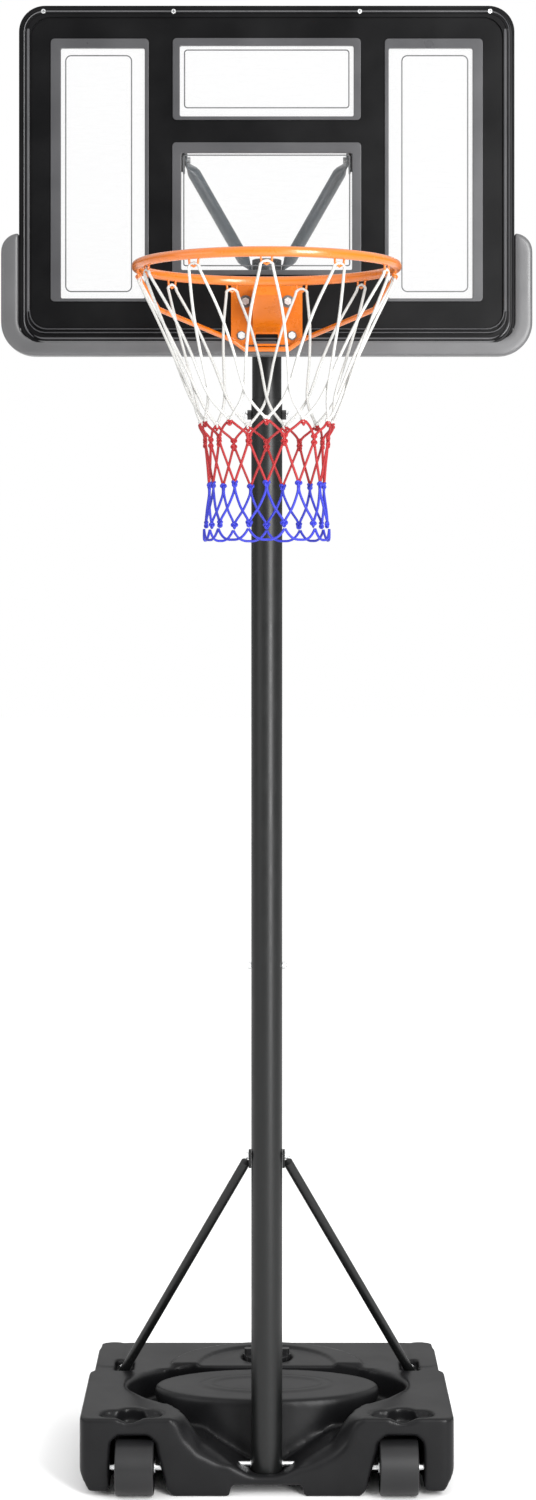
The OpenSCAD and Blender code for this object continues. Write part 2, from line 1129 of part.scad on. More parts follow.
module bracket_plate_outline() {
    half = rim_plate_half;
    cut = 22;
    polygon(mirrored([
        [half - cut, rim_plate_low], [half, rim_plate_low + 14], [half, rim_plate_high]
    ]));
}

// The welded box that carries the ring out from its plate, as outlines of y and z
module box_side(inset) {
    root = boss_front - plate_t;
    tip = -ring_reach + ring_r;
    polygon([
        [root + inset * 3, 2344 + inset], [root + inset * 3, ring_h - inset], [tip + inset, ring_h - inset],
        [tip + inset, 2404 + inset], [tip + 30, 2386 + inset]
    ]);
}

module rim_bracket() {
    color(orange)
        placed()
            difference() {
                union() {
                    upright(boss_front - plate_t, boss_front)
                        bracket_plate_outline();
                    translate([-box_half, 0, 0])
                        rotate([90, 0, 90])
                            linear_extrude(2 * box_half)
                                box_side(0);
                    translate([-21, boss_front - plate_t - 10, 2317])
                        cube([42, 10, 4]);
                }
                translate([3 - box_half, 0, 0])
                    rotate([90, 0, 90])
                        linear_extrude(2 * box_half - 6)
                            box_side(3);
                upright(boss_front - plate_t - 1, boss_front + 1)
                    window([-22, 22, 2321, 2341], 2);
                both_sides()
                    for (b = rim_bolt_at)
                        translate([b[0], boss_front - plate_t - 20, b[1]])
                            rotate([-90, 0, 0])
                                cylinder(h = 60, r = hole_r);
                translate([0, -ring_reach, ring_h])
                    rotate_extrude($fn = 128)
                        translate([ring_r, 0])
                            circle(ring_rod / 2);
            }
}

module rim_ring() {
    color(orange)
        placed()
            translate([0, -ring_reach, ring_h])
                rotate_extrude($fn = 128)
                    translate([ring_r, 0])
                        circle(ring_rod / 2);
}

module brace_rod() {
    half = [
        [22, -board_reach - 12, 2311], [43, -board_reach - 12, 2311], [66, -board_reach - 22, 2327],
        [203, -470, 2366], [brace_end_r * sin(78), -ring_reach + brace_end_r * cos(78), 2419]
    ];
    color(orange)
        placed()
            bent_rod(concat([for (i = [4:-1:0]) [-half[i][0], half[i][1], half[i][2]]], half), 5);
}

module rim_bolts() {
    front = boss_front - plate_t;
    color(zinc)
        placed()
            both_sides()
                for (b = rim_bolt_at)
                    translate([b[0], front - 1.6, b[1]])
                        rotate([0, 0, 90])
                            hex_bolt(0, frame_back + plate_t + nut_h + 3 - front + 1.6);
}

module rim_washers() {
    front = boss_front - plate_t;
    radius = [12, 9];
    color(zinc)
        placed()
            both_sides()
                for (i = [0, 1])
                    translate([rim_bolt_at[i][0], front - 1.6, rim_bolt_at[i][1]])
                        rotate([-90, 0, 0])
                            difference() {
                                cylinder(h = 1.6, r = radius[i]);
                                translate([0, 0, -1])
                                    cylinder(h = 4, r = bolt_r);
                            }
}

module rim_nuts() {
    color(zinc)
        placed()
            both_sides()
                for (b = rim_bolt_at)
                    translate([b[0], frame_back + plate_t, b[1]])
                        rotate([0, 0, 90])
                            hex_nut(0);
}

// Wire loops under the ring that hold the net's top cords
module net_hooks() {
    color(orange)
        placed()
            for (i = [0:hook_count - 1])
                translate([0, -ring_reach, ring_h])
                    rotate(i * 360 / hook_count - 90)
                        translate([ring_r - 1.5, 0, 0])
                            bent_rod([[0, -10, -7], [0, -9, -17], [0, 0, -22], [0, 9, -17], [0, 10, -7]], 2);
}

// The net stands as a thin funnel with the true outline of the knotted cords
module net() {
    count = len(net_rings);
    outline = concat(
        [for (p = net_rings) p],
        [for (i = [count - 1:-1:0]) net_rings[i] - [net_t, 0]]
    );
    color("#e9e9ee")
        placed()
            translate([0, -ring_reach, 0])
                rotate_extrude($fn = 96)
                    polygon(outline);
}

base_tank();
fill_cap();
cap_seal();
left_wheel();
right_wheel();
wheel_axles();
axle_washers();
pivot_rod();
pivot_clips();
lower_tube();
middle_tube();
upper_tube();
pole_top_cap();
seam_bolt();
seam_nut();
strut_bolt();
strut_nut();
left_strut();
right_strut();
strut_foot_bolts();
strut_foot_nuts();
clamp_nuts();
left_clamp_screw();
right_clamp_screw();
board_frame();
edge_guard();
left_trim();
right_trim();
top_trim();
target_trim();
left_pane();
right_pane();
top_pane();
target_pane();
board_screws();
left_arm_bracket();
right_arm_bracket();
bracket_screws();
left_upper_arm();
right_upper_arm();
left_lower_arm();
right_lower_arm();
pole_arm_bolts();
pole_arm_nuts();
board_arm_bolts();
board_arm_nuts();
rim_back_plate();
rim_bracket();
rim_ring();
brace_rod();
rim_bolts();
rim_washers();
rim_nuts();
net_hooks();
net();
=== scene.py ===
"""Looks of a portable basketball hoop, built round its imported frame."""

import logging
import math
from dataclasses import dataclass
from enum import Enum

import bmesh
import bpy
from mathutils import Matrix, Vector


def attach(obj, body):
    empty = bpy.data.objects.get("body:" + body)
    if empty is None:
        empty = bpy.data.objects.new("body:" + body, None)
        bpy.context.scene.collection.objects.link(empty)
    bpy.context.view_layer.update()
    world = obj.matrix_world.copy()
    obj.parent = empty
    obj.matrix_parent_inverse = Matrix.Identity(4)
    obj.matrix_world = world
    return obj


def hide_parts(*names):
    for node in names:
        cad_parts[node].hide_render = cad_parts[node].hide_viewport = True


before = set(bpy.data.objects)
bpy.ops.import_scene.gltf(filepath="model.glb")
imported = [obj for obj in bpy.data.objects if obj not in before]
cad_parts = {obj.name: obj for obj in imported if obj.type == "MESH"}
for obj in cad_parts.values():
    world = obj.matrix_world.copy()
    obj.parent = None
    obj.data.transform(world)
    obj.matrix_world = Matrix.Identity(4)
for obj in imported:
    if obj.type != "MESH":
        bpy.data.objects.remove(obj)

LOG = logging.getLogger("hoop")
MM = 0.001
POLE_Y = 178.25
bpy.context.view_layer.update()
BACK = Vector((0.0, 1.0, 0.0))
SIDES = (("left", -1.0), ("right", 1.0))


class Body(Enum):
    """The bodies of the frame that pieces ride on."""

    STAND = "stand"
    CARRIAGE = "carriage"
    LEFT_WHEEL = "left_wheel"
    RIGHT_WHEEL = "right_wheel"
    FILL_CAP = "fill_cap"


def linear(hex_colour: str) -> tuple[float, float, float, float]:
    """Turns an sRGB colour into the linear one that shaders take.

    Args:
        hex_colour: Six hex digits after a hash.

    Returns:
        Red, green, blue and an alpha of one.
    """
    parts = [int(hex_colour[i:i + 2], 16) / 255 for i in (1, 3, 5)]
    red, green, blue = [p / 12.92 if p <= 0.04045 else ((p + 0.055) / 1.055) ** 2.4 for p in parts]
    return (red, green, blue, 1.0)


def add(tree: bpy.types.NodeTree, kind: str, settings: dict | None = None,
        inputs: dict | None = None) -> bpy.types.Node:
    """Adds a node with its settings, values and links.

    Args:
        tree: The node tree it goes in.
        kind: Blender's name of the node type.
        settings: Attributes of the node to set.
        inputs: For each input, a value to set or an output socket to link.

    Returns:
        The new node.
    """
    node = tree.nodes.new(kind)
    for name, value in (settings or {}).items():
        setattr(node, name, value)
    for key, value in (inputs or {}).items():
        if isinstance(value, bpy.types.NodeSocket):
            tree.links.new(value, node.inputs[key])
        else:
            node.inputs[key].default_value = value
    return node


@dataclass(frozen=True)
class Finish:
    """A surface: what it is made of and how it was made."""

    name: str
    colour: str
    roughness: float

    def material(self) -> bpy.types.Material:
        """Makes the material the first time and finds it again after that.

        Returns:
            The material.
        """
        found = bpy.data.materials.get(self.name)
        if found:
            return found
        material = bpy.data.materials.new(self.name)
        material.use_nodes = True
        tree = material.node_tree
        tree.nodes.clear()
        surface = self.shade(tree)
        add(tree, "ShaderNodeOutputMaterial", inputs={"Surface": surface})
        return material

    def shade(self, tree: bpy.types.NodeTree) -> bpy.types.NodeSocket:
        """Draws the surface's nodes.

        Args:
            tree: The material's node tree.

        Returns:
            The shader's output.
        """
        raise NotImplementedError


@dataclass(frozen=True)
class MouldedPlastic(Finish):
    """Moulded plastic: a pebbled skin, drawn coarser than real grain so that it shows, cloudy gloss and scuffs."""

    grain_mm: float = 1.6
    grain_depth_mm: float = 0.10
    scuff_colour: str = "#8a8a8a"
    scuffs: float = 0.25
    specular: float = 0.5

    def shade(self, tree: bpy.types.NodeTree) -> bpy.types.NodeSocket:
        """Draws pebbles by Voronoi cells, clouds by wide noise and scuffs by stretched noise.

        Args:
            tree: The material's node tree.

        Returns:
            The shader's output.
        """
        place = add(tree, "ShaderNodeTexCoord").outputs["Object"]
        clouds = add(tree, "ShaderNodeTexNoise", inputs={"Vector": place, "Scale": 9.0, "Detail": 5.0})
        pebbles = add(tree, "ShaderNodeTexVoronoi", {"feature": "SMOOTH_F1"},
                      {"Vector": place, "Scale": 1 / (self.grain_mm * MM), "Smoothness": 0.6})
        stretch = add(tree, "ShaderNodeMapping", inputs={"Vector": place, "Scale": (14.0, 70.0, 40.0)})
        marks = add(tree, "ShaderNodeTexNoise",
                    inputs={"Vector": stretch.outputs["Vector"], "Scale": 1.0, "Detail": 8.0, "Roughness": 0.7})
        worn = add(tree, "ShaderNodeMapRange",
                   inputs={0: marks.outputs["Fac"], 1: 0.62, 2: 0.82, 3: 0.0, 4: self.scuffs})
        tint = add(tree, "ShaderNodeMapRange", inputs={0: clouds.outputs["Fac"], 1: 0.3, 2: 0.7, 3: 0.0, 4: 0.16})
        base = add(tree, "ShaderNodeMix", {"data_type": "RGBA"},
                   {0: tint.outputs[0], 6: linear(self.colour), 7: linear(self.scuff_colour)})
        colour = add(tree, "ShaderNodeMix", {"data_type": "RGBA"},
                     {0: worn.outputs[0], 6: base.outputs[2], 7: linear(self.scuff_colour)})
        gloss = add(tree, "ShaderNodeMapRange", inputs={0: clouds.outputs["Fac"], 1: 0.3, 2: 0.7,
                                                        3: self.roughness - 0.05, 4: self.roughness + 0.07})
        bump = add(tree, "ShaderNodeBump", inputs={"Height": pebbles.outputs["Distance"], "Strength": 0.5,
                                                   "Distance": self.grain_depth_mm * MM})
        return add(tree, "ShaderNodeBsdfPrincipled",
                   inputs={"Base Color": colour.outputs[2], "Roughness": gloss.outputs[0], "IOR": 1.5,
                           "Specular IOR Level": self.specular, "Normal": bump.outputs[0]}).outputs[0]


@dataclass(frozen=True)
class BakedPaint(Finish):
    """Powder or enamel baked on steel: orange peel under a clear top coat."""

    peel_mm: float = 2.2
    peel_depth_mm: float = 0.03
    fade_colour: str = "#606060"
    fade: float = 0.12
    coat: float = 0.35
    specular: float = 0.5

    def shade(self, tree: bpy.types.NodeTree) -> bpy.types.NodeSocket:
        """Draws the peel by fine noise and a slow fade of the colour.

        Args:
            tree: The material's node tree.

        Returns:
            The shader's output.
        """
        place = add(tree, "ShaderNodeTexCoord").outputs["Object"]
        peel = add(tree, "ShaderNodeTexNoise",
                   inputs={"Vector": place, "Scale": 1 / (self.peel_mm * MM), "Detail": 2.0})
        slow = add(tree, "ShaderNodeTexNoise",
                   inputs={"Vector": place, "Scale": 14.0, "Detail": 6.0, "Roughness": 0.65})
        faded = add(tree, "ShaderNodeMapRange",
                    inputs={0: slow.outputs["Fac"], 1: 0.42, 2: 0.75, 3: 0.0, 4: self.fade})
        colour = add(tree, "ShaderNodeMix", {"data_type": "RGBA"},
                     {0: faded.outputs[0], 6: linear(self.colour), 7: linear(self.fade_colour)})
        gloss = add(tree, "ShaderNodeMapRange", inputs={0: slow.outputs["Fac"], 1: 0.35, 2: 0.7,
                                                        3: self.roughness - 0.04, 4: self.roughness + 0.08})
        bump = add(tree, "ShaderNodeBump", inputs={"Height": peel.outputs["Fac"], "Strength": 0.2,
                                                   "Distance": self.peel_depth_mm * MM})
        return add(tree, "ShaderNodeBsdfPrincipled",
                   inputs={"Base Color": colour.outputs[2], "Roughness": gloss.outputs[0], "IOR": 1.5,
                           "Specular IOR Level": self.specular, "Coat Weight": self.coat, "Coat Roughness": 0.12,
                           "Normal": bump.outputs[0]}).outputs[0]


@dataclass(frozen=True)
class ZincPlate(Finish):
    """Zinc on steel: crystal patches, drawn coarse so that they show, with fine turning marks."""

    patch_mm: float = 1.4
    patch_colour: str = "#d3d5d6"

    def shade(self, tree: bpy.types.NodeTree) -> bpy.types.NodeSocket:
        """Draws the patches by Voronoi cells that differ in tone and gloss.

        Args:
            tree: The material's node tree.

        Returns:
            The shader's output.
        """
        place = add(tree, "ShaderNodeTexCoord").outputs["Object"]
        patches = add(tree, "ShaderNodeTexVoronoi", inputs={"Vector": place, "Scale": 1 / (self.patch_mm * MM)})
        grey = add(tree, "ShaderNodeSeparateColor", inputs={0: patches.outputs["Color"]})
        colour = add(tree, "ShaderNodeMix", {"data_type": "RGBA"},
                     {0: grey.outputs[0], 6: linear(self.colour), 7: linear(self.patch_colour)})
        gloss = add(tree, "ShaderNodeMapRange", inputs={0: grey.outputs[1], 1: 0.0, 2: 1.0,
                                                        3: self.roughness - 0.06, 4: self.roughness + 0.1})
        marks = add(tree, "ShaderNodeTexNoise", inputs={"Vector": place, "Scale": 900.0, "Detail": 2.0})
        bump = add(tree, "ShaderNodeBump",
                   inputs={"Height": marks.outputs["Fac"], "Strength": 0.25, "Distance": 0.05 * MM})
        return add(tree, "ShaderNodeBsdfPrincipled",
                   inputs={"Base Color": colour.outputs[2], "Metallic": 1.0, "Roughness": gloss.outputs[0],
                           "Normal": bump.outputs[0]}).outputs[0]


@dataclass(frozen=True)
class ClearSheet(Finish):
    """Cast acrylic: clear with a mirror gloss and a haze of hairline scratches."""

    haze: float = 0.015

    def shade(self, tree: bpy.types.NodeTree) -> bpy.types.NodeSocket:
        """Mixes a clear sheet, its reflection and a little white haze that follows scratches.

        Args:
            tree: The material's node tree.

        Returns:
            The shader's output.
        """
        place = add(tree, "ShaderNodeTexCoord").outputs["Object"]
        stretch = add(tree, "ShaderNodeMapping", inputs={"Vector": place, "Scale": (40.0, 40.0, 900.0),
                                                         "Rotation": (0.0, 0.5, 0.0)})
        hairs = add(tree, "ShaderNodeTexNoise", inputs={"Vector": stretch.outputs[0], "Scale": 1.0, "Detail": 3.0})
        amount = add(tree, "ShaderNodeMapRange", inputs={0: hairs.outputs["Fac"], 1: 0.5, 2: 0.8,
                                                         3: self.haze, 4: self.haze + 0.03})
        clear = add(tree, "ShaderNodeBsdfTransparent", inputs={"Color": linear(self.colour)})
        milk = add(tree, "ShaderNodeBsdfDiffuse", inputs={"Color": linear("#f4f6f8")})
        gloss = add(tree, "ShaderNodeBsdfGlossy", inputs={"Color": linear("#ffffff"), "Roughness": self.roughness})
        body = add(tree, "ShaderNodeMixShader",
                   inputs={0: amount.outputs[0], 1: clear.outputs[0], 2: milk.outputs[0]})
        edge = add(tree, "ShaderNodeFresnel", inputs={"IOR": 1.49})
        inside = add(tree, "ShaderNodeNewGeometry").outputs["Backfacing"]
        outside = add(tree, "ShaderNodeMath", {"operation": "SUBTRACT"}, {0: 1.0, 1: inside})
        share = add(tree, "ShaderNodeMath", {"operation": "MULTIPLY"}, {0: edge.outputs[0], 1: outside.outputs[0]})
        return add(tree, "ShaderNodeMixShader",
                   inputs={0: share.outputs[0], 1: body.outputs[0], 2: gloss.outputs[0]}).outputs[0]


@dataclass(frozen=True)
class BraidedCord(Finish):
    """Braided polyester cord: two sets of strands that cross round the cord, with a soft fuzz and painted shade in
    the hollows between them.
    """

    strand_mm: float = 3.0
    shadow_colour: str = "#808080"

    def shade(self, tree: bpy.types.NodeTree) -> bpy.types.NodeSocket:
        """Draws both sets of strands as waves on the cord's own map, with painted shade in the hollows between them.

        Args:
            tree: The material's node tree.

        Returns:
            The shader's output.
        """
        uv = add(tree, "ShaderNodeUVMap", {"uv_map": "UVMap"})
        parts = add(tree, "ShaderNodeSeparateXYZ", inputs={0: uv.outputs[0]})
        along = add(tree, "ShaderNodeMath", {"operation": "MULTIPLY"},
                    {0: parts.outputs[1], 1: 2 * math.pi / (self.strand_mm * MM)})
        waves = []
        for turns in (2.0, -2.0):
            spiral = add(tree, "ShaderNodeMath", {"operation": "MULTIPLY_ADD"},
                         {0: parts.outputs[0], 1: turns * 2 * math.pi, 2: along.outputs[0]})
            waves.append(add(tree, "ShaderNodeMath", {"operation": "SINE"}, {0: spiral.outputs[0]}))
        braid = add(tree, "ShaderNodeMath", {"operation": "MAXIMUM"},
                    {0: waves[0].outputs[0], 1: waves[1].outputs[0]})
        shade = add(tree, "ShaderNodeMapRange", inputs={0: braid.outputs[0], 1: -0.4, 2: 0.8, 3: 0.0, 4: 1.0})
        # Mixing towards the shadow colour in the hollows between strands is painted shade; the bump below is real
        # relief.
        colour = add(tree, "ShaderNodeMix", {"data_type": "RGBA"},
                     {0: shade.outputs[0], 6: linear(self.shadow_colour), 7: linear(self.colour)})
        bump = add(tree, "ShaderNodeBump", inputs={"Height": shade.outputs[0], "Strength": 0.7, "Distance": 0.5 * MM})
        return add(tree, "ShaderNodeBsdfPrincipled",
                   inputs={"Base Color": colour.outputs[2], "Roughness": self.roughness, "IOR": 1.5,
                           "Sheen Weight": 0.03, "Sheen Roughness": 0.5, "Normal": bump.outputs[0]}).outputs[0]


# Rotationally moulded polyethylene: charcoal, soft gloss, faint pebbles.
TANK_PLASTIC = MouldedPlastic("rotomoulded_polyethylene", "#0f0f10", 0.33, grain_mm=2.4, grain_depth_mm=0.12,
                              scuff_colour="#303032", scuffs=0.12, specular=0.17)
# Injection-moulded polypropylene: black with a finer spark-eroded grain.
FRAME_PLASTIC = MouldedPlastic("grained_polypropylene", "#060607", 0.36, grain_mm=1.4, grain_depth_mm=0.07,
                               scuff_colour="#202021", scuffs=0.08, specular=0.12)
# Injection-moulded polypropylene caps: a shade paler and glossier than the tank.
CAP_PLASTIC = MouldedPlastic("moulded_polypropylene_cap", "#121213", 0.35, grain_mm=1.2,
                             scuff_colour="#3a3a3c", scuffs=0.12, specular=0.3)
# Hard polyethylene wheels: matt from the mould, scuffed by the floor.
WHEEL_PLASTIC = MouldedPlastic("moulded_wheel_polyethylene", "#151516", 0.42, grain_mm=1.8,
                               scuff_colour="#3c3c3e", scuffs=0.3, specular=0.35)
# Grey ABS window trim: a little glossier than the frame.
# The same grey on the lip's bead, slopes and ribs is painted highlight on the black lip.
TRIM_AND_LIP_HIGHLIGHT_GREY = MouldedPlastic("grey_abs_trim_and_lip_highlights", "#3c3c3e", 0.32, grain_mm=1.2, grain_depth_mm=0.05,
                              scuff_colour="#5c5c5e", scuffs=0.06)
# Soft PVC edge guard: grey, satin, slightly cloudy.
GUARD_RUBBER = MouldedPlastic("soft_pvc_guard", "#4f4f50", 0.36, grain_mm=1.6, grain_depth_mm=0.06,
                              scuff_colour="#6c6c6e", scuffs=0.12)
# Moulded rubber seal: dull black with almost no highlight.
SEAL_RUBBER = MouldedPlastic("moulded_seal_rubber", "#141414", 0.7, grain_mm=0.9, scuffs=0.1)
# Screen-printed ink on acrylic: flat mid grey, a little mottled.
LINE_INK = MouldedPlastic("screen_printed_ink", "#48494b", 0.5, grain_mm=0.8, grain_depth_mm=0.02,
                          scuff_colour="#8a8c8e", scuffs=0.2)
# Powder coat on the pole: satin black, fine peel.
POLE_PAINT = BakedPaint("powder_coated_steel", "#0d0e0e", 0.38, fade_colour="#181919", coat=0.0, specular=0.36)
# Powder coat on the upper arms: blue-grey, glossier than the pole.
ARM_PAINT = BakedPaint("blue_grey_powder_coat", "#343b40", 0.36, fade_colour="#454d52", coat=0.2)
# Enamel on the ring: bright orange, wet gloss, paler where it is thin.
RIM_PAINT = BakedPaint("orange_baked_enamel", "#c46408", 0.26, peel_mm=3.0, fade_colour="#d98434", fade=0.05,
                       coat=0.5)
# Electroplated zinc on bolts and rods: near white, bright but not a mirror.
ZINC = ZincPlate("bright_zinc_plate", "#f6f7f7", 0.36)
# Galvanised washers: duller and greyer than the plated bolts they sit under, and darkened further as painted shade
# round the bolt heads.
GALVANISED_AND_PAINTED_SHADE = ZincPlate("galvanised_steel_and_painted_shade", "#77797a", 0.5, patch_mm=2.0, patch_colour="#606263")
# Cast acrylic panes: clear, sharp reflections, faint hairlines.
ACRYLIC = ClearSheet("cast_acrylic", "#fefefe", 0.04)
# Braided polyester net cord in three dyes: matt, with painted shade in the hollows between its strands. Real strands
# are finer than 3 mm, and are drawn that coarse so that they show.
WHITE_CORD = BraidedCord("white_braided_polyester", "#ececea", 0.65, shadow_colour="#8c8c88")
RED_CORD = BraidedCord("red_braided_polyester", "#c4020c", 0.6, shadow_colour="#66050a")
BLUE_CORD = BraidedCord("blue_braided_polyester", "#2430d6", 0.6, shadow_colour="#141a78")


def dress(finish: Finish, *nodes: str) -> None:
    """Gives nodes of the frame a finish.

    Args:
        finish: The finish they get.
        nodes: Names of the nodes.
    """
    for node in nodes:
        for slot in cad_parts[node].material_slots:
            slot.material = finish.material()


def settle(name: str, bm: bmesh.types.BMesh, finish: Finish, body: Body, stands_for: tuple[str, ...] = (),
           smooth_to: float = 40.0) -> bpy.types.Object:
    """Turns a finished bmesh into a piece that rides on its body.

    Args:
        name: The piece's name.
        bm: Its shape, which is freed here.
        finish: Its finish.
        body: The body it rides on.
        stands_for: The nodes it stands for.
        smooth_to: The largest angle in degrees between faces that is shaded smooth.

    Returns:
        The piece.
    """
    mesh = bpy.data.meshes.new(name)
    bm.to_mesh(mesh)
    bm.free()
    mesh.shade_smooth()
    mesh.set_sharp_from_angle(angle=math.radians(smooth_to))
    piece = bpy.data.objects.new(name, mesh)
    bpy.context.scene.collection.objects.link(piece)
    mesh.materials.append(finish.material())
    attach(piece, body.value)
    if stands_for:
        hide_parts(*stands_for)
    LOG.info("%s: %d faces", name, len(mesh.polygons))
    return piece


def merged_copy(node: str) -> bmesh.types.BMesh:
    """Copies a node's mesh and joins its loose triangles.

    Args:
        node: The node's name.

    Returns:
        The joined copy.
    """
    bm = bmesh.new()
    bm.from_mesh(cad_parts[node].data)
    bmesh.ops.remove_doubles(bm, verts=bm.verts, dist=0.02 * MM)
    return bm


def softened(node: str, finish: Finish, body: Body, width_mm: float = 1.0,
             segments: int = 2) -> bpy.types.Object:
    """Makes a copy of a node with its hard edges rounded, and stands it for the node.

    Args:
        node: The node's name.
        finish: The piece's finish.
        body: The body it rides on.
        width_mm: How far the rounding reaches from each edge.
        segments: Steps across each rounding.

    Returns:
        The piece.
    """
    bm = merged_copy(node)
    bmesh.ops.dissolve_limit(bm, angle_limit=math.radians(0.6), verts=bm.verts, edges=bm.edges)
    hard = [e for e in bm.edges if len(e.link_faces) == 2 and e.calc_face_angle(0.0) > math.radians(38)]
    bmesh.ops.bevel(bm, geom=hard, offset=width_mm * MM, offset_type="OFFSET", affect="EDGES", segments=segments,
                    profile=0.5, material=-1, clamp_overlap=True)
    bmesh.ops.triangulate(bm, faces=bm.faces)
    piece = settle(node + "_finished", bm, finish, body, (node,), smooth_to=32.0)
    weigh_normals(piece)
    return piece


def eased(node: str, finish: Finish, body: Body, voxel_mm: float, smoothing: int) -> bpy.types.Object:
    """Remeshes a copy of a moulded node and eases all its edges, as they leave a mould.

    Args:
        node: The node's name.
        finish: The piece's finish.
        body: The body it rides on.
        voxel_mm: The size of the new faces.
        smoothing: How many times the surface is smoothed.

    Returns:
        The piece.
    """
    piece = settle(node + "_moulded", merged_copy(node), finish, body, (node,), smooth_to=180.0)
    remesh = piece.modifiers.new("skin", "REMESH")
    remesh.mode = "VOXEL"
    remesh.voxel_size = voxel_mm * MM
    remesh.use_smooth_shade = True
    ease = piece.modifiers.new("ease", "SMOOTH")
    ease.factor = 0.5
    ease.iterations = smoothing
    bake_modifiers(piece)
    piece.data.materials.clear()
    piece.data.materials.append(finish.material())
    piece.data.shade_smooth()
    LOG.info("%s: %d faces after remeshing", piece.name, len(piece.data.polygons))
    return piece


def weigh_normals(piece: bpy.types.Object) -> None:
    """Keeps large flats flat beside rounded edges, by weighing each face's normal by its area.

    Args:
        piece: The piece.
    """
    weighted = piece.modifiers.new("flats", "WEIGHTED_NORMAL")
    weighted.keep_sharp = True
    weighted.weight = 80
    bake_modifiers(piece)


def bake_modifiers(piece: bpy.types.Object) -> None:
    """Applies all of a piece's modifiers to its mesh.

    Args:
        piece: The piece.
    """
    depsgraph = bpy.context.evaluated_depsgraph_get()
    depsgraph.update()
    mesh = bpy.data.meshes.new_from_object(piece.evaluated_get(depsgraph), preserve_all_data_layers=True,
                                           depsgraph=depsgraph)
    piece.modifiers.clear()
    piece.data = mesh


def frames_along(path: list[Vector], side: Vector) -> list[Matrix]:
    """Works out where a cross-section stands at each point of a path, without twist.

    Args:
        path: The points.
        side: The direction that the section's first axis starts nearest to.

    Returns:
        One matrix per point, whose third axis runs along the path.
    """
    frames = []
    across = side
    last = len(path) - 1
    for i, point in enumerate(path):
        run = (path[min(i + 1, last)] - path[max(i - 1, 0)]).normalized()
        across = (across - run * across.dot(run)).normalized()
        up = run.cross(across)
        frames.append(Matrix.Translation(point) @ Matrix((across, up, run)).transposed().to_4x4())
    return frames


def sweep(bm: bmesh.types.BMesh, path: list[Vector], sections: list[tuple[float, float]], sides: int = 8,
          side: Vector = BACK) -> None:
    """Extrudes a round or oval section along a path, closes its ends and maps it.

    Args:
        bm: The mesh it is added to.
        path: The points that the middle follows.
        sections: The section's half width and half thickness at each point.
        sides: Corners of the section.
        side: The direction that the section's width starts nearest to.
    """
    layer = bm.loops.layers.uv.verify()
    frames = frames_along(path, side)
    sized = [f @ Matrix.Diagonal((a, b, 1.0, 1.0)) for f, (a, b) in zip(frames, sections)]
    ring = bmesh.ops.create_circle(bm, cap_ends=True, segments=sides, radius=1.0, matrix=sized[0])["verts"]
    start = ring[0].link_faces[0]
    inverse = sized[0].inverted()
    turn = {v: i / sides for i, v in enumerate(ring)}
    ahead = 0.0
    edges = list(start.edges)
    for i in range(1, len(path)):
        step = (path[i] - path[i - 1]).length
        made = bmesh.ops.extrude_edge_only(bm, edges=edges)["geom"]
        fresh = [g for g in made if isinstance(g, bmesh.types.BMVert)]
        faces = [g for g in made if isinstance(g, bmesh.types.BMFace)]
        new = set(fresh)
        for vert in fresh:
            turn[vert] = next(turn[e.other_vert(vert)] for e in vert.link_edges if e.other_vert(vert) not in new)
        bmesh.ops.transform(bm, matrix=sized[i] @ inverse, verts=fresh)
        inverse = sized[i].inverted()
        for face in faces:
            turns = [turn[loop.vert] for loop in face.loops]
            wraps = max(turns) - min(turns) > 0.5
            for loop, value in zip(face.loops, turns):
                around = value + 1.0 if wraps and value < 0.5 else value
                loop[layer].uv = (around, ahead + step if loop.vert in new else ahead)
        ahead += step
        edges = [g for g in made if isinstance(g, bmesh.types.BMEdge) and g.verts[0] in new and g.verts[1] in new]
    bmesh.ops.contextual_create(bm, geom=edges)


def cord(bm: bmesh.types.BMesh, path: list[Vector], radius: float, sides: int = 8) -> None:
    """Adds a cord of one thickness along a path."""
    sweep(bm, path, [(radius, radius)] * len(path), sides)


def smooth_path(points: list[Vector], steps: int) -> list[Vector]:
    """Runs a smooth curve through points.

    Args:
        points: The points, in order.
        steps: Steps between each pair.

    Returns:
        The curve's points, both ends included.
    """
    ends = [points[0] * 2 - points[1], *points, points[-1] * 2 - points[-2]]
    curve = []
    for a, b, c, d in zip(ends, ends[1:], ends[2:], ends[3:]):
        for i in range(steps):
            t = i / steps
            curve.append(0.5 * ((2 * b) + (c - a) * t + (2 * a - 5 * b + 4 * c - d) * t * t
                                + (3 * b - a - 3 * c + d) * t * t * t))
    return curve + [points[-1].copy()]


@dataclass(frozen=True)
class Window:
    """A rounded rectangle on the board, from its four edges in millimetres."""

    left: float
    right: float
    low: float
    high: float
    radius: float

    def face(self, bm: bmesh.types.BMesh, y: float) -> bmesh.types.BMFace:
        """Draws it as one face that looks forward.

        Args:
            bm: The mesh it is added to.
            y: Where the face stands, in metres.

        Returns:
            The face.
        """
        corners = ((self.left, self.low), (self.right, self.low), (self.right, self.high), (self.left, self.high))
        verts = [bm.verts.new((x * MM, y, z * MM)) for x, z in corners]
        bm.faces.new(verts)
        bmesh.ops.bevel(bm, geom=verts, offset=self.radius * MM, affect="VERTICES", segments=8, profile=0.5,
                        material=-1)
        face = max(bm.faces, key=lambda f: f.calc_area())
        if face.normal.y > 0:
            face.normal_flip()
        return face


